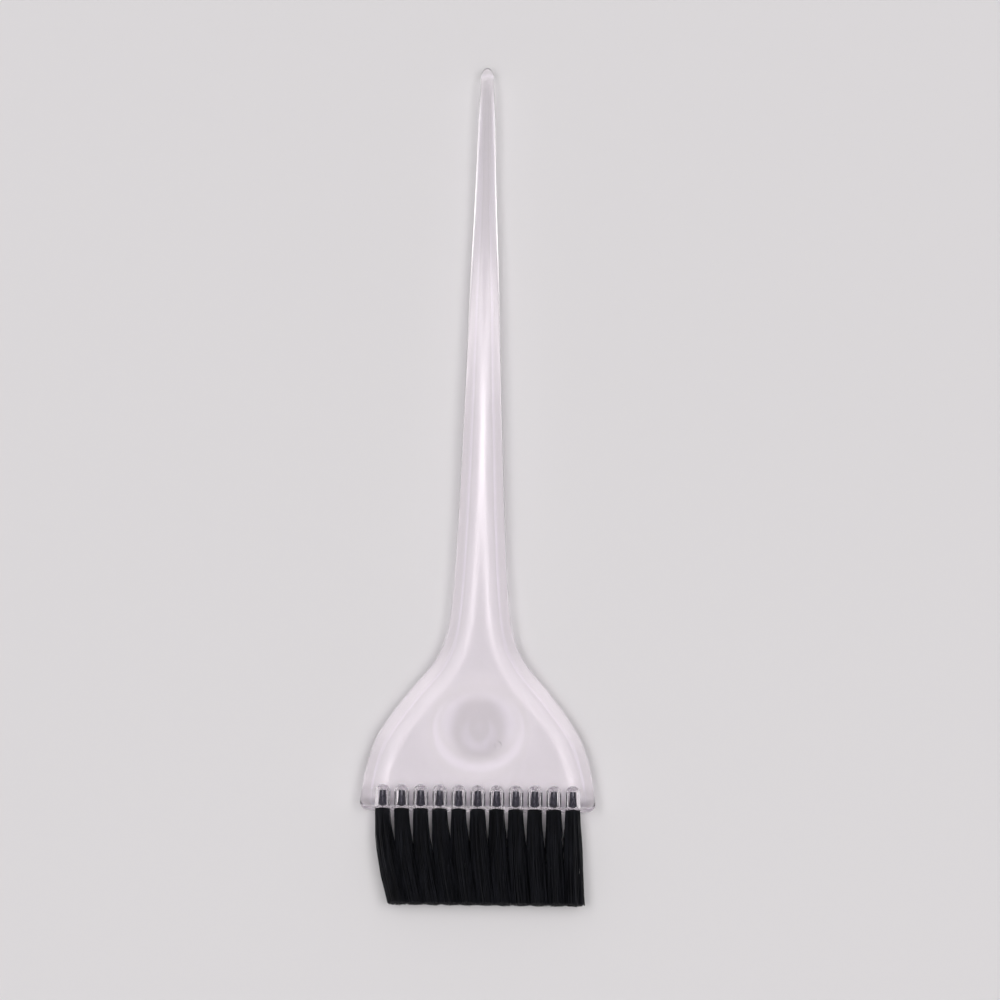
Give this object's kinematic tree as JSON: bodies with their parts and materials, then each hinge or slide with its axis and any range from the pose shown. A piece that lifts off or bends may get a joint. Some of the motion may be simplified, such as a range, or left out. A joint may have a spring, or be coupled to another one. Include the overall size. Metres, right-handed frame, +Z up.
{
  "type": "hair tint brush",
  "caption": "Wide flat hair colouring brush: clear moulded handle with thumb dishes and a long tapered tail, and a straight row of black bristle tufts.",
  "frame": {"origin": "middle of the bottom of the whole brush's box, as it lies on its back", "axes": "+X across the paddle, +Y from the trimmed bristle tips to the tip of the handle, +Z up out of the face"},
  "size_m": [0.0568, 0.216, 0.0065],
  "materials": {
    "clear_plastic": "clear moulded styrene plastic with a faint lavender tint, polished, with fine handling scratches",
    "bristle": "black nylon filament, satin",
    "anchor_wire": "flat staple wire, drawn and cut, dull"
  },
  "bodies": {
    "root": {"handle": "clear_plastic", "tuft_01": "bristle", "anchor_01": "anchor_wire", "tuft_02": "bristle", "anchor_02": "anchor_wire", "tuft_03": "bristle", "anchor_03": "anchor_wire", "tuft_04": "bristle", "anchor_04": "anchor_wire", "tuft_05": "bristle", "anchor_05": "anchor_wire", "tuft_06": "bristle", "anchor_06": "anchor_wire", "tuft_07": "bristle", "anchor_07": "anchor_wire", "tuft_08": "bristle", "anchor_08": "anchor_wire", "tuft_09": "bristle", "anchor_09": "anchor_wire", "tuft_10": "bristle", "anchor_10": "anchor_wire", "tuft_11": "bristle", "anchor_11": "anchor_wire"}
  },
  "joints": []
}
